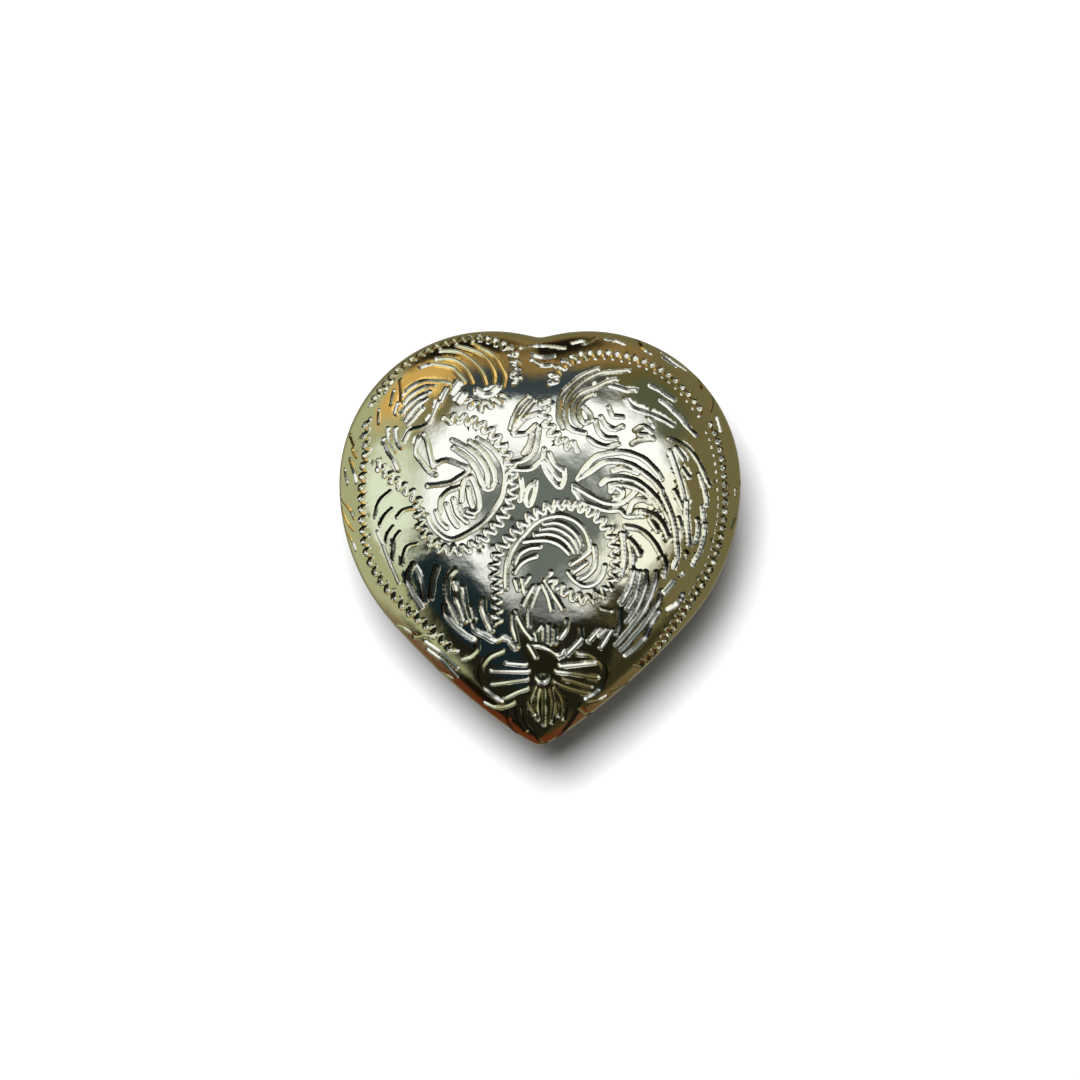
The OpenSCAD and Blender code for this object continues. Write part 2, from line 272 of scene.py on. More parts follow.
        (2.1, -4.3, 2.6, -4.9, 3.3, -5.3, 4.1, -5.1, 4.6, -4.5, 4.8, -3.8),
        (2.4, -4.3, 3, -3.9, 3.4, -3.6), (2.9, -4.8, 3.5, -4.5, 4, -3.9, 4.1, -3.1, 4, -2.4),
        (-1.8, -4.9, -1.6, -5.6), (-1.3, -4.8, -1.1, -5.8), (-0.8, -4.6, -1.2, -5.2),
    ],
    ("flower petals", 0.4): [
        (1.5, -11.2, 4.1, -11), (1.2, -11.6, 2.7, -11.8, 4.3, -12.1), (1.8, -12.2, 2.6, -12.4, 3.8, -12.8),
        (1.1, -12.4, 2.3, -12.9, 3.6, -13.3), (-2.5, -11, -1.1, -11.1), (-3.6, -11.6, -0.9, -11.6),
        (-3.5, -12.6, -2.2, -12.4, -1, -12.2), (-2.6, -13.6, -1.8, -13.2, -1, -12.9),
        (-2.8, -10.1, -3.8, -10.6, -4.4, -11.5, -4.3, -12.6, -3.7, -13.4, -2.9, -13.9),
        (2.8, -10.3, 3.9, -10.5, 4.7, -11.3, 4.8, -12.2, 4.4, -13.1, 3.5, -13.7),
        (-4.1, -14.1, -3.4, -14.4, -2.7, -14.3, -2, -14), (3.7, -14, 4.3, -13.9, 4.9, -13.6),
        (-2.3, -14.7, -2.3, -15.6, -1.7, -16.4), (-1.2, -14.3, -1.1, -15.3, -0.4, -16.3, 0.4, -17.1),
        (2.8, -14.1, 2.6, -15, 2, -15.9, 1.2, -16.9), (-1.7, -14.4, -1.6, -15.2, -1.1, -16.1),
        (3.1, -14.5, 3.8, -15), (-0.1, -11.8, -0.2, -12.1, 0, -12.4, 0.3, -12.4, 0.5, -12.1, 0.4, -11.8),
    ],
    ("lower petal", 0.36): [
        (-0.4, -12.8, -0.8, -14, -0.4, -14.9), (-0.1, -13, -0.3, -14, -0.2, -15.3), (0.3, -13, 0.3, -15.7),
        (0.8, -13, 1, -14.1, 0.9, -15.5), (1.2, -12.8, 1.8, -14, 1.8, -15.3), (1.3, -14, 1.4, -15),
    ],
    ("outside the border", 0.34): [
        (-14.2, 5.9, -13.9, 5.2), (-14, 4.8, -13.7, 4.3), (-14.2, 4.1, -13.9, 3.2, -13.7, 2.4),
        (-14.6, 3.3, -14.4, 2.3), (-14.9, 1.3, -14.3, 0.5, -13.9, -0.2),
        (-14.8, 0.4, -14.4, -0.6, -14, -1.1), (-14.6, -1, -14.1, -1.9, -13.8, -2.6),
        (-11, -8.3, -10.4, -8.4, -9.7, -8.8), (-8.6, -9.5, -7.4, -10.3, -6.2, -11.4),
        (-8.4, -10.1, -7.2, -11, -6.2, -12.1), (-8, -11.4, -6.6, -12.2), (-9.4, -9.2, -8.6, -9, -8, -9.2),
        (4.9, 13.1, 5.6, 13, 6.3, 12.7), (7, 13.3, 7.6, 12.5, 8.3, 12), (9.1, 12.1, 10, 11.4, 10.9, 10.8),
        (9.2, 11.7, 10.1, 11.1), (11, 11, 11.8, 10.2, 12, 9.5), (12.9, 8.7, 12.7, 7.8),
        (13.2, 7.3, 13.5, 6.2), (14.6, 1.8, 14.6, 1.5), (14.6, -0.2, 14.3, -0.9), (14.9, 2.4, 15, 2.3),
        (-1.5, 12.4, 0, 12.6, 1.8, 12.4), (-0.5, 11.9, 0.2, 11.7, 1, 11.8),
        (-0.6, 11.5, 0.1, 11.1, 0.8, 11.1), (3.2, 12.7, 3.7, 12.9, 4.1, 13.2), (2.4, 12.8, 3.2, 13),
        (6.5, -12.6, 5.4, -13.1),
    ],
}
# Wriggle cuts: name, pitch and swing of the zigzag, and the line that it follows, in mm
wriggles = {
    ("border, upper left", 0.73, 0.75): (
        -1.6, 9.4, -1.8, 10.4, -1.8, 11.4, -2.3, 12.3, -3.4, 12.9, -4.8, 13.2, -6.4, 12.95, -8, 12.4,
        -9.6, 11.5, -11, 10.4, -12, 9.2, -12.7, 7.8,
    ),
    ("border, left", 0.86, 0.75): (
        -12.8, 7.4, -13, 6.2, -12.9, 4.7, -13.1, 3.2, -13.2, 1.6, -13.2, 0, -13.1, -1.4, -12.9, -2.7,
        -12.4, -4, -11.4, -5.5, -10.1, -6.9, -8.6, -8.1, -7.3, -9.3, -6.1, -10.6,
    ),
    ("border, upper right", 0.73, 0.75): (
        0.9, 9.3, 1.1, 10.4, 2, 11.3, 3.2, 11.8, 4.5, 11.9, 5.7, 11.8, 7, 11.5, 8.3, 11, 9.5, 10.3,
        10.5, 9.4, 11.4, 8.3, 12.2, 7.2,
    ),
    ("border, right", 0.68, 0.95): (
        12.4, 6.8, 12.9, 5.8, 13.3, 4.4, 13.5, 3, 13.6, 1.6, 13.6, 0.2, 13.4, -1.2, 13.1, -2.6, 12.6, -4,
        12.1, -5, 11.2, -6.4, 10.3, -7.8, 9.5, -8.9, 8.4, -10.4, 7, -11.6,
    ),
    ("left scroll's zigzag", 0.75, 0.75): (
        -12.4, 3.9, -11.5, 3.2, -10.7, 2.4, -9.7, 1.7, -9, 0.8, -8.9, -0.6, -8.4, -1.7, -7.4, -2.5,
        -6.2, -2.7, -5.1, -2.4, -4.1, -1.7, -3.2, -0.8, -2.5, 0.2, -2.1, 1.3, -2, 2.5, -2.2, 3.7,
        -2.7, 4.8, -3.3, 5.7, -4.1, 6.4, -5.1, 6.9, -6.3, 7.1, -7.4, 6.7,
    ),
    ("zigzag over it", 0.7, 0.7): (
        -2.2, 8.9, -3.2, 8.4, -4.2, 8, -5.1, 8.1, -5.8, 8.7,
    ),
    ("upper right scroll's zigzag", 0.75, 0.75): (
        0.4, 8.8, 0.3, 7.6, 0.6, 6.6, 1.2, 5.7, 2.1, 5.1, 3.2, 4.9,
    ),
    ("lower right scroll's zigzag", 0.75, 0.75): (
        0.4, -4.1, 0.9, -5, 1.7, -5.6, 2.6, -6.1, 3.6, -6.3, 4.6, -5.9, 5.3, -5.1, 5.6, -4, 5.6, -2.8,
        5.3, -1.7, 4.7, -0.7, 3.8, 0.1, 2.7, 0.6, 1.5, 0.7, 0.3, 0.4, -0.8, -0.3, -1.7, -1.2, -2.5, -2,
        -3.1, -2.9, -3.4, -4, -3.2, -5.3, -3.2, -6.6, -3.2, -8.6,
    ),
}


def polar(r, angle):
    """Flat points at a distance and an angle from the post's axis."""
    return np.stack([r * np.cos(angle), r * np.sin(angle)], axis=-1)


def sideways(line):
    """The unit direction to the left of each point of a line."""
    along = np.gradient(line, axis=0)
    return np.stack([-along[:, 1], along[:, 0]], axis=-1) / np.maximum(np.hypot(*along.T), 1e-9)[:, None]


def smooth_line(flat, step, pieces=12):
    """Evenly spaced points on a smooth line through x, y, x, y, ..."""
    knots = np.array(flat, float).reshape(-1, 2)
    ends = [2 * knots[0] - knots[1]], [2 * knots[-1] - knots[-2]]
    a, b, c, d = (np.concatenate([ends[0], knots, ends[1]])[k:k + len(knots) - 1] for k in range(4))
    t = np.linspace(0, 1, pieces, endpoint=False)[None, :, None]
    a, b, c, d = (q[:, None] for q in (a, b, c, d))
    line = 0.5 * (2 * b + (c - a) * t + (2 * a - 5 * b + 4 * c - d) * t ** 2
                  + (3 * b - a - 3 * c + d) * t ** 3)
    line = np.concatenate([line.reshape(-1, 2), knots[-1:]])
    length = np.concatenate([[0], np.cumsum(np.hypot(*np.diff(line, axis=0).T))])
    even = np.linspace(0, length[-1], max(2, round(length[-1] / step) + 1))
    return np.stack([np.interp(even, length, line[:, k]) for k in (0, 1)], axis=-1)


def wriggle_line(flat, pitch, swing, step=0.05, rounding=0.1):
    """The zigzag of a wriggle cut along a smooth line, its corners slightly rounded."""
    line = smooth_line(flat, step)
    teeth = max(2, round(len(line) * step / pitch * 2))
    at = np.linspace(0, len(line) - 1, teeth + 1).astype(int)
    side = np.where(np.arange(teeth + 1) % 2, 0.5, -0.5)[:, None] * swing
    corners = line[at] + sideways(line)[at] * side
    keep = 1 - rounding
    return np.concatenate([[q * keep + p * rounding, q * keep + r * rounding]
                           for p, q, r in zip(corners, corners[1:], corners[2:])])


cut_step = 0.1
# A stroke's width is that of its bright floor; the whole cut is wider
whole_width, depth_share = 1.28, 0.2
wriggle_width, wriggle_depth, wriggle_run = 0.45, 0.09, 40
# How uneven a cut's width is: a slow waver and a quick beading, their rates in radians to the mm
waver, waver_rate, bead_rate = 0.05, 5.1, 19
plain_beading, beading_of = 0.05, {"right side arcs": 0.28, "outside the border": 0.1}
# How much deeper the floor is along its middle
plain_hollow, hollow_of = 0.06, {"lower petal": 0.14}
# How nearly level a floor lies across a slope, how deep it is for that, in half widths,
# and how far to the side the slope is felt
levelling, slope_depth, feeler = 0.95, 0.75, 0.05
engraved = []


def engrave(line, width, depth, beading=plain_beading, hollow=plain_hollow):
    """Notes a cut along a line, a little uneven, as a hand-led tool leaves it."""
    k, number = np.arange(len(line)) * cut_step, len(engraved)
    uneven = 1 + waver * np.sin(k * waver_rate + number) + beading * np.sin(k * bead_rate + 2 * number)
    # The die is pressed straight down, so a cut's floor is level across, also on a slope
    over = dome_point(*roll_back(*(line + sideways(line) * feeler).T)) - dome_point(*roll_back(*line.T))
    run = np.maximum(np.hypot(over[:, 0], over[:, 1]), 1e-6)
    rise = np.clip(over[:, 2] / run, -1, 1) * levelling
    deepest = np.maximum(depth, slope_depth * width / 2 * np.abs(rise))
    engraved.append((line, width / 2 * uneven, deepest, rise, hollow))


for (group, width), strokes in cuts.items():
    for stroke in strokes:
        x, y = np.array(stroke).reshape(-1, 2).T
        engrave(smooth_line(unroll(x, y).ravel(), cut_step), whole_width * width, depth_share * width,
                beading_of.get(group, plain_beading), hollow_of.get(group, plain_hollow))
for (group, pitch, swing), route in wriggles.items():
    x, y = np.array(route).reshape(-1, 2).T
    zigzag = wriggle_line(unroll(x, y).ravel(), pitch, swing)
    dense = np.concatenate([
        np.linspace(p, q, max(2, round(math.dist(p, q) / cut_step)), endpoint=False)
        for p, q in zip(zigzag, zigzag[1:])
    ])
    for k in range(0, len(dense) - 1, wriggle_run):
        engrave(dense[k:k + wriggle_run + 1], wriggle_width, wriggle_depth)

# Points of the mesh: the rim, rows that run along each cut, then a plain grid between.
# A point that is nearer than its gap to an earlier one is left out.
rim_count, rim_samples = 640, 6001
row_gap, grid_gap, rim_gap = 0.036, 0.16, 0.07
grid, grid_row = 0.26, 0.866
edge_angles = np.linspace(0, 2 * math.pi, rim_samples)
rim = polar(edge_reach(edge_angles, rim_soft), edge_angles)
rim_length = np.concatenate([[0], np.cumsum(np.hypot(*np.diff(rim, axis=0).T))])
rim_angles = np.interp(np.arange(rim_count) / rim_count * rim_length[-1], rim_length, edge_angles)

offers = [(polar(edge_reach(rim_angles, rim_soft) * unroll_at[-1], rim_angles), 0.0)]
floor_row, outer_row = 0.78, 1.07      # the foot of a cut's wall and just outside it, in half widths
for row in (floor_row, -floor_row, outer_row, -outer_row, 0.0, 0.4, -0.4):
    for line, half, *_ in engraved:
        offers.append((line + sideways(line) * (half * row)[:, None], row_gap))
        if row in (floor_row, outer_row):
            # The rows go round both ends of the cut
            for end, out in ((0, line[0] - line[1]), (-1, line[-1] - line[-2])):
                fan = math.atan2(out[1], out[0]) + np.linspace(-1.2, 1.2, 5)
                offers.append((line[end] + polar(1, fan) * half[end] * row, row_gap))
# Every other line of the grid is shifted, so that it makes even triangles over the whole sheet
gx, gy = np.meshgrid(np.arange(-20, 20, grid), np.arange(-22, 20, grid * grid_row))
gx = gx + (np.arange(gx.shape[0]) % 2)[:, None] * grid / 2
offers.append((np.stack([gx.ravel(), gy.ravel()], axis=-1), grid_gap))

cell = 0.17             # points are looked up by square cells, wider than the widest gap
taken, points = {}, []
for offered, gap in offers:
    angle, r = np.arctan2(offered[:, 1], offered[:, 0]), np.hypot(offered[:, 0], offered[:, 1])
    inside = r < edge_reach(angle, rim_soft) * unroll_at[-1] - rim_gap if gap else r > 0
    for px, py in offered[inside]:
        i, j = int(px // cell), int(py // cell)
        near = (q for a in (i - 1, i, i + 1) for b in (j - 1, j, j + 1) for q in taken.get((a, b), ()))
        if gap and any((px - qx) ** 2 + (py - qy) ** 2 < gap * gap for qx, qy in near):
            continue
        taken.setdefault((i, j), []).append((px, py))
        points.append((px, py))
rim_edges = [(k, (k + 1) % rim_count) for k in range(rim_count)]
flat_points, _, triangles, *_ = geometry.delaunay_2d_cdt([Vector(p) for p in points], rim_edges, [], 1, 1e-5)
flat_points = np.array(flat_points)


def cut_depth(at, margin=0.4, wall_power=16):
    """How deep the engraving goes at points of the flat sheet."""
    deep = np.zeros(len(at))
    for line, half, depth, rise, hollow in engraved:
        box = (at > line.min(axis=0) - margin) & (at < line.max(axis=0) + margin)
        near = np.flatnonzero(box.all(axis=1))
        if not len(near):
            continue
        start, step = line[:-1], np.diff(line, axis=0)
        away = at[near][:, None] - start[None]
        share = np.clip((away * step).sum(axis=2) / np.maximum((step ** 2).sum(axis=1), 1e-9), 0, 1)
        gap = away - share[..., None] * step
        left = (step[:, 0] * gap[..., 1] - step[:, 1] * gap[..., 0]) / np.maximum(np.hypot(*step.T), 1e-9)
        reach = half[:-1] + share * np.diff(half)
        t = np.hypot(gap[..., 0], gap[..., 1]) / reach
        level = left * (rise[:-1] + share * np.diff(rise))
        floor = depth[:-1] + share * np.diff(depth) + level + hollow * (1 - t)
        wall = np.clip(1 - t ** wall_power, 0, 1)
        deep[near] = np.maximum(deep[near], (wall * floor).max(axis=1))
    return deep


deep = cut_depth(flat_points)
fall, angle = roll_back(*flat_points.T)
nudge = 1e-3
plain = dome_point(fall, angle)
side_a = roll_back(flat_points[:, 0] + nudge, flat_points[:, 1])
side_b = roll_back(flat_points[:, 0], flat_points[:, 1] + nudge)
outward = np.cross(dome_point(*side_a) - plain, dome_point(*side_b) - plain)
outward /= np.linalg.norm(outward, axis=1)[:, None]
# The rim's own points sit exactly at the dome's foot
plain[:rim_count] = dome_point(np.full(rim_count, math.pi / 2), rim_angles)
deep[:rim_count] = 0
# The sheet isn't quite even: stamping and buffing leave it softly rolling, but not at its edge
roll_h, broad, fine, fine_share, fade_share = 0.035, 0.33, 0.8, 0.4, 0.03
rolling = np.array([
    noise.noise(Vector((u * broad, v * broad, 3.0)))
    + fine_share * noise.noise(Vector((u * fine, v * fine, 9.0)))
    for u, v in flat_points
])
edge_fade = np.clip((1 - np.sin(fall)) / fade_share, 0, 1)
surface = (plain - outward * (deep + roll_h * edge_fade * (rolling + 1))[:, None]) * MM

shell = bmesh.new()
cut_layer = shell.verts.layers.float.new("cut")
verts = [shell.verts.new(p) for p in surface]
for vert, d in zip(verts, deep):
    vert[cut_layer] = d
for tri in triangles:
    shell.faces.new([verts[k] for k in tri])


def next_ring(ring, places):
    """Joins a ring of vertices to a new one at the given places."""
    new = [shell.verts.new(p) for p in places]
    for k in range(rim_count):
        after = (k + 1) % rim_count
        shell.faces.new([ring[after], ring[k], new[k], new[after]])
    return new


def rim_places(inset, z, share=1.0):
    """The heart's outline, set in from its edge, at a height and a share of its full size."""
    soft = softness(np.full(rim_count, share))
    r = share * (edge_reach(rim_angles, soft) - inset)
    return np.stack([r * np.cos(rim_angles), r * np.sin(rim_angles), np.full(rim_count, z)], axis=-1) * MM


# The band, the roll under it, the lip and the inner skin, ring by ring, as (inset, height)
profile = [(0.0, lip_roll)]
for a in np.radians([15, 30, 45, 60, 75, 90]):
    profile.append((lip_roll * (1 - math.cos(a)), lip_roll * (1 - math.sin(a))))
profile += [(lip_w, 0.0), (lip_w, lip_t), (sheet_t, lip_t), (sheet_t, band_h)]
ring = verts[:rim_count]
for inset, z in profile:
    ring = next_ring(ring, rim_places(inset, z))
inner_rings = 8
for step in range(1, inner_rings):
    a = math.pi / 2 * step / inner_rings
    ring = next_ring(ring, rim_places(sheet_t, band_h + (dome_h - sheet_t) * math.sin(a), math.cos(a)))
peak = shell.verts.new((0, 0, (band_h + dome_h - sheet_t) * MM))
for k in range(rim_count):
    shell.faces.new([ring[(k + 1) % rim_count], ring[k], peak])
bmesh.ops.recalc_face_normals(shell, faces=shell.faces)
for face in shell.faces:
    face.smooth = True


def as_mesh(name, made):
    """Turns what was made into a mesh, and lets go of it."""
    mesh = bpy.data.meshes.new(name)
    made.to_mesh(mesh)
    made.free()
    return mesh


def as_object(name, data):
    """An object in the scene for a mesh, a lamp or a camera."""
    thing = bpy.data.objects.new(name, data)
    bpy.context.scene.collection.objects.link(thing)
    return thing


face_shell = as_object("engraved_face", as_mesh("engraved_face", shell))
face_shell.data.set_sharp_from_angle(angle=math.radians(22))


def new_finish(name, colour, roughness, metallic=1.0):
    """A material: itself, its nodes, its shader and a helper that links two sockets."""
    material = bpy.data.materials.new(name)
    material.use_nodes = True
    nodes = material.node_tree.nodes
    shader = nodes["Principled BSDF"]
    shader.inputs["Base Color"].default_value = (*colour, 1)
    shader.inputs["Metallic"].default_value = metallic
    shader.inputs["Roughness"].default_value = roughness
    return material, nodes, shader, material.node_tree.links.new


def metal_noise(nodes, link, stretch, size, detail=4.0):
    """Noise on the piece's own coordinates, stretched along its axes; sizes in mm."""
    where = nodes.new("ShaderNodeTexCoord")
    fit = nodes.new("ShaderNodeMapping")
    fit.inputs["Scale"].default_value = [k / (size * MM) for k in stretch]
    link(where.outputs["Object"], fit.inputs["Vector"])
    grain = nodes.new("ShaderNodeTexNoise")
    grain.inputs["Scale"].default_value = 1.0
    grain.inputs["Detail"].default_value = detail
    link(fit.outputs["Vector"], grain.inputs["Vector"])
    return grain.outputs["Fac"]


def spread(nodes, link, source, low, high, start=0.3, stop=0.7, way="LINEAR"):
    """Turns the values of a source from start to stop into values from low to high."""
    node = nodes.new("ShaderNodeMapRange")
    node.interpolation_type = way
    for name, value in (("From Min", start), ("From Max", stop), ("To Min", low), ("To Max", high)):
        node.inputs[name].default_value = value
    link(source, node.inputs["Value"])
    return node.outputs["Result"]


def relief(nodes, link, shader, source, height):
    """Raises the surface by a height in mm, as bump."""
    bump = nodes.new("ShaderNodeBump")
    bump.inputs["Distance"].default_value = height * MM
    link(source, bump.inputs["Height"])
    link(bump.outputs["Normal"], shader.inputs["Normal"])


# The second colour is painted shade, for the walls of the cuts
plated, cut_wall_shade = (0.80, 0.78, 0.70), (0.22, 0.20, 0.17)
buffed, deep_cut = 0.08, 0.08       # the roughness of the buffed sheet; a full cut's depth in mm
material, nodes, shader, link = new_finish("polished_plate", plated, buffed)
cut = nodes.new("ShaderNodeAttribute")
cut.attribute_name = "cut"
link(spread(nodes, link, cut.outputs["Fac"], buffed, 0.17, 0, deep_cut), shader.inputs["Roughness"])
# Painted shade: the colour turns dark half way down the cuts' walls, where the grooves shade themselves
painted_cut_shade = nodes.new("ShaderNodeValToRGB")
stops = painted_cut_shade.color_ramp.elements
stops[0].position, stops[1].position = 0.0, deep_cut
stops[0].color = stops[1].color = (*plated, 1)
for place in (0.02, 0.055):
    stops.new(place).color = (*cut_wall_shade, 1)
link(cut.outputs["Fac"], painted_cut_shade.inputs["Fac"])
link(painted_cut_shade.outputs["Color"], shader.inputs["Base Color"])
relief(nodes, link, shader, metal_noise(nodes, link, (1, 1, 1), 0.4, 3.0), 0.006)
face_shell.data.materials.append(material)
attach(face_shell, "concho")
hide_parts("face_shell")

# ---- Back plate -------------------------------------------------------------
# A flat heart blanked from rolled sheet steel, held all round by the crimped
# lip. It has the dull zinc finish and the rolling grain of a part no one sees.

plate = frame["nodes"]["back_plate"]
zinc, nodes, shader, link = new_finish("zinc_sheet", (0.62, 0.61, 0.58), 0.35)


def blend(nodes, link, factor, first, second):
    """Two colours mixed by a value from 0 to 1; each may also come from a socket."""
    node = nodes.new("ShaderNodeMix")
    node.data_type = "RGBA"
    link(factor, node.inputs[0])
    # The node keeps its colours in sockets 6 and 7, after those for values and vectors
    for colour, socket in ((first, node.inputs[6]), (second, node.inputs[7])):
        if isinstance(colour, tuple):
            socket.default_value = (*colour, 1)
        else:
            link(colour, socket)
    return node.outputs[2]


def stain(nodes, link, shader, source, dark, light):
    """Colours the metal between two tones by noise."""
    mixed = blend(nodes, link, spread(nodes, link, source, 0, 1), dark, light)
    link(mixed, shader.inputs["Base Color"])


grain = metal_noise(nodes, link, (1, 0.03, 1), 0.12)
cloud = metal_noise(nodes, link, (1, 1, 1), 4.0)
link(spread(nodes, link, grain, 0.28, 0.50), shader.inputs["Roughness"])
stain(nodes, link, shader, cloud, (0.50, 0.49, 0.47), (0.66, 0.65, 0.62))
relief(nodes, link, shader, grain, 0.01)
plate.data.materials.clear()
plate.data.materials.append(zinc)

# ---- Threaded post ----------------------------------------------------------
# Turned brass, nickel plated: a blind barrel tapped for the screw, with a
# flange inside the shell. A collar is staked over the back plate's edge.

post_low, post_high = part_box("threaded_post")
barrel_r, seat_r, collar_r, flange_r, boss_r, bore_r = 2.75, 3.05, 3.4, 4.5, 3.15, 2.05
barrel_end, boss_top, bore_top = post_low.z / MM, post_high.z / MM, 3.4
collar_low, plate_low, plate_top, flange_top = 0.1, 0.5, 1.2, 2.0
thread_pitch, thread_depth = 0.7, 0.22
# One turn of the thread's outline: share of the pitch, and whether it lies on the crest
thread_form = (0.0, False), (0.30, True), (0.45, True), (0.85, False)
wall_r = bore_r + thread_depth


def turned_solid(outline, steps=96):
    """A solid of revolution about the post's axis, from its outline (radius, height) in mm."""
    made = bmesh.new()
    chain = [made.verts.new((r * MM, 0, z * MM)) for r, z in outline]
    edges = [made.edges.new(pair) for pair in zip(chain, chain[1:])]
    bmesh.ops.spin(made, geom=chain + edges, cent=(0, 0, 0), axis=(0, 0, 1), angle=2 * math.pi,
                   steps=steps, use_merge=True)
    bmesh.ops.remove_doubles(made, verts=made.verts, dist=1e-7)
    bmesh.ops.recalc_face_normals(made, faces=made.faces)
    return made


def thread_skin(root_r, crest_r, low, high, steps=48):
    """A helical thread's skin from one height to another, in mm, cut square at its ends."""
    made = bmesh.new()
    turns = math.ceil((high - low) / thread_pitch) + 2
    start = low - thread_pitch * 1.5
    chain = []
    for k in range(turns):
        for share, on_crest in thread_form:
            r = crest_r if on_crest else root_r
            chain.append(made.verts.new((r * MM, 0, (start + (k + share) * thread_pitch) * MM)))
    edges = [made.edges.new(pair) for pair in zip(chain, chain[1:])]
    bmesh.ops.spin(made, geom=chain + edges, cent=(0, 0, 0), axis=(0, 0, 1), angle=2 * math.pi,
                   steps=steps, dvec=(0, 0, thread_pitch * MM / steps))
    bmesh.ops.remove_doubles(made, verts=made.verts, dist=2e-6)
    for height, side in ((low, 1), (high, -1)):
        bmesh.ops.bisect_plane(made, geom=made.verts[:] + made.edges[:] + made.faces[:], dist=1e-7,
                               plane_co=(0, 0, height * MM), plane_no=(0, 0, -side), clear_outer=True)
    return made


def draw_out(made, edges, radius, height=None):
    """Grows a loop of edges to a radius, and to a height if one is given, and returns the new loop."""
    grown = bmesh.ops.extrude_edge_only(made, edges=edges)["geom"]
    for vert in (g for g in grown if isinstance(g, bmesh.types.BMVert)):
        away = Vector((vert.co.x, vert.co.y, 0)).normalized() * radius * MM
        vert.co = (away.x, away.y, vert.co.z if height is None else height * MM)
    return [g for g in grown if isinstance(g, bmesh.types.BMEdge)]


def add_piece(name, made, material, body, node):
    """Makes the mesh an object with its finish, and gives it its place in the frame."""
    for face in made.faces:
        face.smooth = True
    piece = as_object(name, as_mesh(name, made))
    piece.data.set_sharp_from_angle(angle=math.radians(35))
    piece.data.materials.append(material)
    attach(piece, body)
    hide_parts(node)


post = turned_solid([
    (wall_r, barrel_end + 0.2), (wall_r + 0.12, barrel_end), (barrel_r - 0.15, barrel_end),
    (barrel_r - 0.04, barrel_end + 0.04), (barrel_r, barrel_end + 0.15), (barrel_r, collar_low),
    (collar_r - 0.12, collar_low), (collar_r - 0.03, collar_low + 0.03), (collar_r, collar_low + 0.12),
    (collar_r, plate_low), (seat_r, plate_low), (seat_r, plate_top), (flange_r - 0.05, plate_top),
    (flange_r, plate_top + 0.05), (flange_r, flange_top - 0.08), (flange_r - 0.08, flange_top),
    (boss_r, flange_top), (boss_r, boss_top - 0.1), (boss_r - 0.1, boss_top), (0, boss_top),
])
# The bore's own wall, up from the mouth to its blind end
mouth = [e for e in post.edges if e.is_boundary]
for radius in (wall_r, 0.4):
    mouth = draw_out(post, mouth, radius, bore_top)
bmesh.ops.contextual_create(post, geom=mouth)
bmesh.ops.recalc_face_normals(post, faces=post.faces)
# The tapped thread is a closed ring, its back sunk in that wall
tapped = thread_skin(wall_r, bore_r, barrel_end + 0.25, bore_top - 0.3)
ends = []
for side in (-1, 1):
    rim = [e for e in tapped.edges if e.is_boundary and (e.verts[0].co.z > 0) == (side > 0)]
    ends += draw_out(tapped, rim, wall_r + 0.1)
bmesh.ops.bridge_loops(tapped, edges=ends)
bmesh.ops.recalc_face_normals(tapped, faces=tapped.faces)
post.from_mesh(as_mesh("tapped", tapped))

nickel, nodes, shader, link = new_finish("nickelled_brass", (0.74, 0.71, 0.62), 0.22)
lathe = metal_noise(nodes, link, (0.2, 0.2, 12), 0.6)
cloud = metal_noise(nodes, link, (1, 1, 1), 2.0)
link(spread(nodes, link, lathe, 0.16, 0.34), shader.inputs["Roughness"])
stain(nodes, link, shader, cloud, (0.66, 0.61, 0.48), (0.76, 0.74, 0.67))
relief(nodes, link, shader, lathe, 0.006)
add_piece("staked_post", post, nickel, "concho", "threaded_post")

# ---- Screw ------------------------------------------------------------------
# Turned steel, chrome plated: a wide low head with a straight driver slot,
# and a shank with a rolled 4 mm thread that runs up the post.

screw_low, screw_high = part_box("screw")
head_z = barrel_end - 0.05
head_bottom = head_z - 1.5
shank_top = screw_high.z / MM
shank_r, thread_root = 2.0, 1.72
thread_start = head_z + 0.2
taper_l, taper_slope = 0.5, 0.9
slot_tool_size, slot_tool_drop = (12, 1.1, 1.8), 0.1
domed = [(0, 0), (1.4, 0.04), (2.8, 0.08), (3.6, 0.19), (4.2, 0.35), (4.6, 0.56), (4.85, 0.85),
         (4.95, 1.0), (4.99, 1.15)]
head = turned_solid([(r, head_bottom + rise) for r, rise in domed] + [
    (4.99, head_z - 0.1), (4.97, head_z - 0.04), (4.9, head_z), (thread_root, head_z),
    (thread_root, head_z + 0.3), (0, head_z + 0.3),
], steps=128)
head = as_object("head", as_mesh("head", head))
cutter = bmesh.new()
bmesh.ops.create_cube(cutter, size=1)
bmesh.ops.scale(cutter, vec=[size * MM for size in slot_tool_size], verts=cutter.verts)
bmesh.ops.translate(cutter, vec=(0, 0, (head_bottom - slot_tool_drop) * MM), verts=cutter.verts)
slot_tool = as_object("slot_tool", as_mesh("slot", cutter))
slotted = head.modifiers.new("slot", "BOOLEAN")
slotted.object = slot_tool
slotted.solver = "EXACT"
rounded = head.modifiers.new("round", "BEVEL")
rounded.width = 0.04 * MM
rounded.segments = 2
rounded.limit_method = "ANGLE"
rounded.angle_limit = math.radians(50)
shaped = bpy.data.meshes.new_from_object(head.evaluated_get(bpy.context.evaluated_depsgraph_get()))
for spare in (head, slot_tool):
    bpy.data.objects.remove(spare)

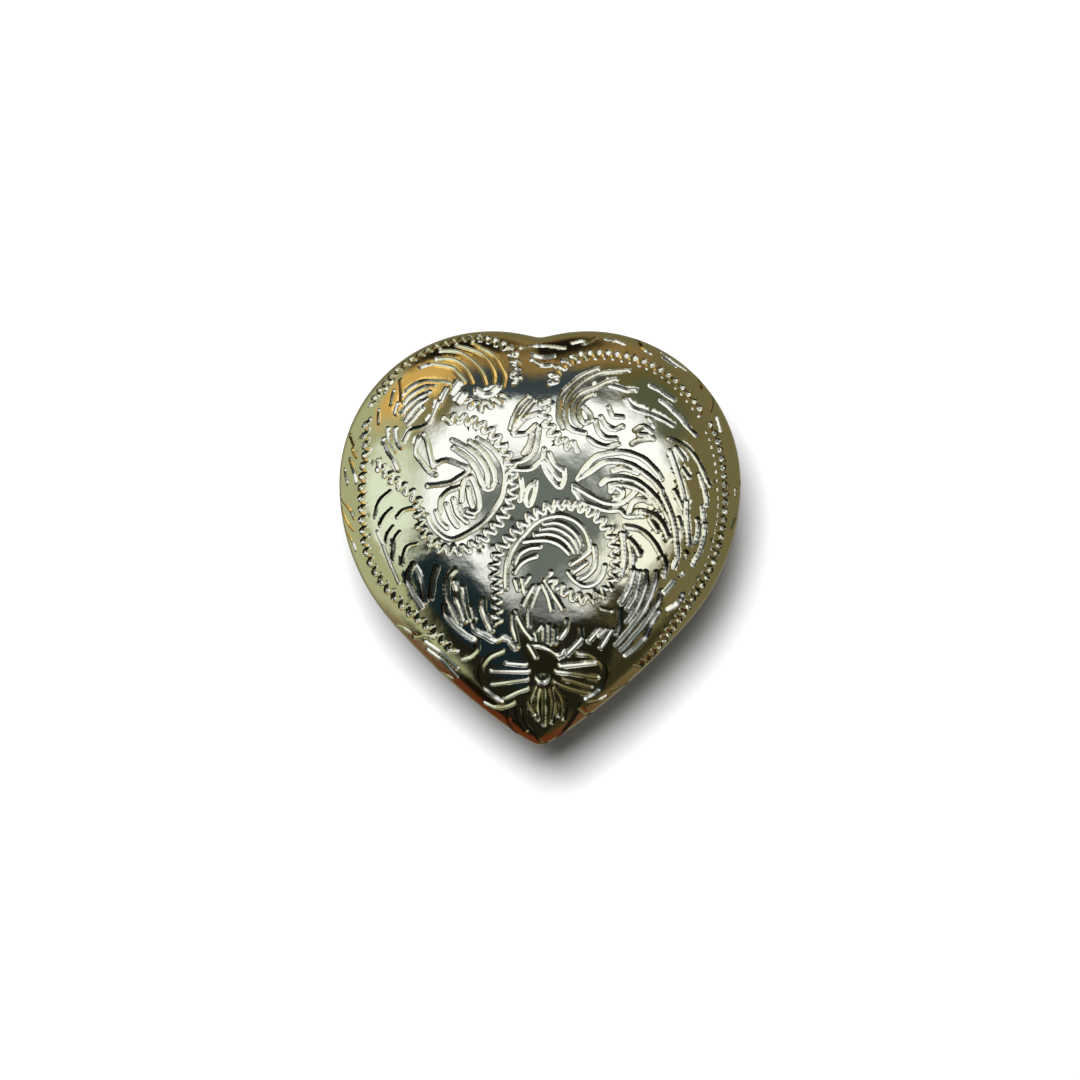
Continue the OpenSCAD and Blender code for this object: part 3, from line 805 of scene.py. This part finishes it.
# The shank, closed at both ends, with the thread run out to its tapered tip
screw = thread_skin(thread_root, shank_r, thread_start, shank_top)
loops = [e for e in screw.edges if e.is_boundary]
for level in (thread_start, shank_top):
    ends = [e for e in loops if abs(e.verts[0].co.z - level * MM) < 1e-5]
    bmesh.ops.contextual_create(screw, geom=ends)
for vert in screw.verts:
    r = math.hypot(vert.co.x, vert.co.y) / MM
    most = shank_r - max(0, vert.co.z / MM - (shank_top - taper_l)) * taper_slope
    if r > most:
        vert.co.x, vert.co.y = vert.co.x * most / r, vert.co.y * most / r
bmesh.ops.recalc_face_normals(screw, faces=screw.faces)
screw.from_mesh(shaped)

chrome, nodes, shader, link = new_finish("turned_chrome", (0.70, 0.69, 0.66), 0.14)
scuff = metal_noise(nodes, link, (1, 1, 1), 1.2, 8.0)
link(spread(nodes, link, scuff, 0.08, 0.24), shader.inputs["Roughness"])
ring_pitch = 0.12
rings = nodes.new("ShaderNodeTexWave")
rings.wave_type, rings.rings_direction = "RINGS", "Z"
where = nodes.new("ShaderNodeTexCoord")
link(where.outputs["Object"], rings.inputs["Vector"])
rings.inputs["Scale"].default_value = 1 / (6 * ring_pitch * MM)
rings.inputs["Distortion"].default_value = 0.4
relief(nodes, link, shader, rings.outputs["Color"], 0.001)
stain(nodes, link, shader, scuff, (0.62, 0.61, 0.58), (0.72, 0.71, 0.69))
add_piece("clamp_screw", screw, chrome, "screw", "screw")

# ---- Stage, lights and camera ----------------------------------------------
# A sheet of white paper, a soft lamp high above the cleft, and a camera that
# looks straight down. Only the metal sees the room round it: cards of light
# and dark, painted one over another by their direction.

scene = bpy.context.scene
scene.view_settings.view_transform = "Standard"
# The floor lies where the screw's head reaches when it is drawn out, so that no pose cuts it
travel = max(j["range_m"][1] for j in frame["joints"])
bpy.ops.mesh.primitive_plane_add(size=2, location=(0, 0, screw_low.z - travel))
floor = bpy.context.object
floor.name = "floor"
paper, nodes, shader, link = new_finish("paper", (0.9, 0.9, 0.9), 0.9, 0.0)
# One-sided, so that the back can be seen from below
side = nodes.new("ShaderNodeNewGeometry")
clear = nodes.new("ShaderNodeBsdfTransparent")
either = nodes.new("ShaderNodeMixShader")
link(side.outputs["Backfacing"], either.inputs[0])
link(shader.outputs[0], either.inputs[1])
link(clear.outputs[0], either.inputs[2])
link(either.outputs[0], nodes["Material Output"].inputs["Surface"])
floor.data.materials.append(paper)
floor.visible_glossy = False

world = bpy.data.worlds.new("studio")
scene.world = world
world.use_nodes = True
nodes, link = world.node_tree.nodes, world.node_tree.links.new
nodes.clear()
coord = nodes.new("ShaderNodeTexCoord")


def srgb(*values):
    """A colour as the eye's 0 to 255 steps, turned into amounts of light."""
    return tuple(v / 255 / 12.92 if v <= 10 else ((v / 255 + 0.055) / 1.055) ** 2.4 for v in values)


def background(colour, strength=1.0):
    """A surrounding of one colour, or of the colours that a socket gives."""
    node = nodes.new("ShaderNodeBackground")
    node.inputs["Strength"].default_value = strength
    if isinstance(colour, tuple):
        node.inputs["Color"].default_value = (*colour, 1)
    else:
        link(colour, node.inputs["Color"])
    return node.outputs[0]


def choose(question, no, yes):
    """One shader or another, by a yes or no socket."""
    node = nodes.new("ShaderNodeMixShader")
    for socket, source in zip(node.inputs, (question, no, yes)):
        link(source, socket)
    return node.outputs[0]


# Azimuth from +X, angle from straight up, radius and softness in degrees, and colour.
# The first covers the whole room.
cards = (
    (0, 0, 180, 1, (104, 97, 64)),
    (185, 90, 55, 15, (160, 163, 124)),
    (182, 53, 16, 10, (212, 222, 202)),
    (60, 65, 25, 12, (92, 84, 50)),
    (46, 52, 12, 7, (78, 84, 62)),
    (95, 90, 28, 12, (130, 106, 62)),
    (128, 73, 20, 9, (196, 160, 88)),
    (133, 60, 8, 5, (245, 210, 130)),
    (95, 45, 15, 7, (52, 62, 66)),
    (103, 98, 20, 8, (26, 21, 14)),
    (264, 118, 38, 9, (88, 44, 24)),
    (305, 92, 16, 8, (48, 45, 26)),
    (236, 100, 12, 6, (20, 15, 8)),
    (60, 4, 36, 5, (248, 253, 255)),
    (345, 30, 15, 6, (238, 240, 226)),
    (310, 2, 18, 5, (98, 106, 102)),
    (268, 62, 43, 6, (28, 27, 18)),
    (223, 43, 15, 4, (22, 36, 41)),
    (0, 180, 27, 7, (120, 118, 100)),
)
card_gain = 1.33
sky = None
for azimuth, polar_angle, radius, soft, colour in cards:
    colour = tuple(card_gain * c for c in srgb(*colour))
    if sky is None:
        sky = colour
        continue
    a, p = math.radians(azimuth), math.radians(polar_angle)
    dot = nodes.new("ShaderNodeVectorMath")
    dot.operation = "DOT_PRODUCT"
    link(coord.outputs["Generated"], dot.inputs[0])
    dot.inputs[1].default_value = (math.sin(p) * math.cos(a), math.sin(p) * math.sin(a), math.cos(p))
    low, high = (math.cos(math.radians(r)) for r in (radius + soft, radius - soft))
    share = spread(nodes, link, dot.outputs["Value"], 0, 1, low, high, "SMOOTHSTEP")
    sky = blend(nodes, link, share, sky, colour)
ray = nodes.new("ShaderNodeLightPath")
lit = choose(ray.outputs["Is Glossy Ray"], background((1, 1, 1), 0.07), background(sky))
seen = choose(ray.outputs["Is Camera Ray"], lit, background((0.9, 0.9, 0.9)))
link(seen, nodes.new("ShaderNodeOutputWorld").inputs["Surface"])

# The lamp, in metres and watts
key = bpy.data.lights.new("key", "AREA")
key.size = 0.19
key.energy = 8.5
lamp = as_object("key", key)
lamp.location = (-0.06, 0.145, 0.8)
lamp.rotation_euler = (-lamp.location).to_track_quat("-Z", "Y").to_euler()
lamp.visible_glossy = False

# The camera's height over the face's foot, the width it sees there, and its place along Y, in metres
camera_h, seen_w, camera_y = 0.4, 0.081, -0.0019
lens = bpy.data.cameras.new("camera")
lens.sensor_width = 36
lens.lens = lens.sensor_width * camera_h / seen_w
camera = as_object("camera", lens)
camera.location = (0, camera_y, camera_h)
scene.camera = camera
